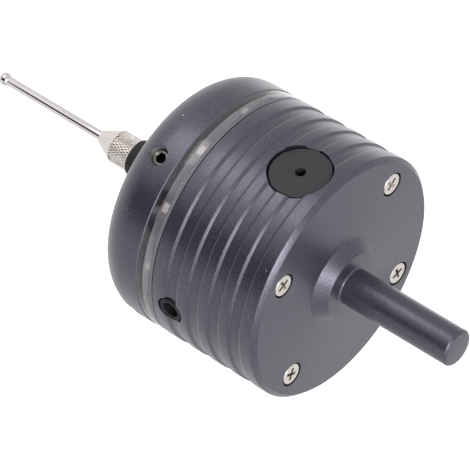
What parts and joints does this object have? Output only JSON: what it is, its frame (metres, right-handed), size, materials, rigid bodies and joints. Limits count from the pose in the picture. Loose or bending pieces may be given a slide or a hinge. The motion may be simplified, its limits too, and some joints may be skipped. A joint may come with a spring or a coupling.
{
  "type": "three-dimensional edge finder",
  "caption": "Round ribbed edge finder with a plain shank, clear light ring, domed cap, side buzzer and socket, and a ball-tipped stylus held in a knurled collet nut.",
  "frame": {"origin": "on the axis at the shank's root, where it leaves the hub", "axes": "+Z along the axis toward the shank's end, +X toward the buzzer, +Y toward the socket; the stylus points to -Z"},
  "size_m": [0.054, 0.054, 0.1219],
  "materials": {
    "anodised_aluminium": "bead-blasted, dark blue-grey anodised, satin",
    "black_oxide_steel": "black oxide, lightly oiled",
    "clear_acrylic": "clear, polished outside",
    "circuit_board": "bare fibreglass board edge",
    "led_package": "white moulded package",
    "nickel_plated_steel": "bright nickel plate",
    "black_moulding": "moulded black, satin",
    "tinned_wire": "tinned",
    "component_epoxy": "moulded epoxy",
    "acetal": "turned black acetal",
    "polished_steel": "ground and polished",
    "turned_steel": "turned",
    "black_rubber": "moulded, matt",
    "turned_brass": "turned",
    "spring_steel": "drawn wire"
  },
  "bodies": {
    "casing": {"housing": "anodised_aluminium", "front_cap": "anodised_aluminium", "cap_set_screws": "black_oxide_steel", "light_ring": "clear_acrylic", "led_board": "circuit_board", "leds": "led_package", "clamp_screws": "nickel_plated_steel", "buzzer": "black_moulding", "buzzer_leads": "tinned_wire", "jack_socket": "black_moulding", "jack_pins": "tinned_wire", "board_components": "component_epoxy", "seat_ring": "acetal", "contact_balls": "polished_steel", "spring_guide": "turned_brass"},
    "plunger": {"spring_plunger": "turned_steel", "return_spring": "spring_steel"},
    "rocker": {"thrust_ball": "polished_steel"},
    "stylus": {"spindle": "turned_steel", "contact_arms": "polished_steel", "collet": "turned_steel", "stylus_stem": "polished_steel", "stylus_ball": "polished_steel", "dust_boot": "black_rubber"},
    "nut": {"collet_nut": "nickel_plated_steel"}
  },
  "joints": [
    {"name": "stylus_plunge", "type": "slide", "parent": "casing", "child": "plunger", "axis": [0, 0, 1], "range_m": [0, 0.003], "stiffness_N_per_m": 350, "springref_m": -0.004, "deforming": ["return_spring"]},
    {"name": "stylus_tilt_x", "type": "hinge", "parent": "plunger", "child": "rocker", "pos_m": [0, 0, -0.0374], "axis": [1, 0, 0], "range_deg": [-8, 8], "stiffness_Nm_per_rad": 0.2},
    {"name": "stylus_tilt_y", "type": "hinge", "parent": "rocker", "child": "stylus", "pos_m": [0, 0, -0.0374], "axis": [0, 1, 0], "range_deg": [-8, 8], "stiffness_Nm_per_rad": 0.2},
    {"name": "collet_nut_turn", "type": "hinge", "parent": "stylus", "child": "nut", "pos_m": [0, 0, -0.06], "axis": [0, 0, 1], "range_deg": [0, 180]}
  ]
}
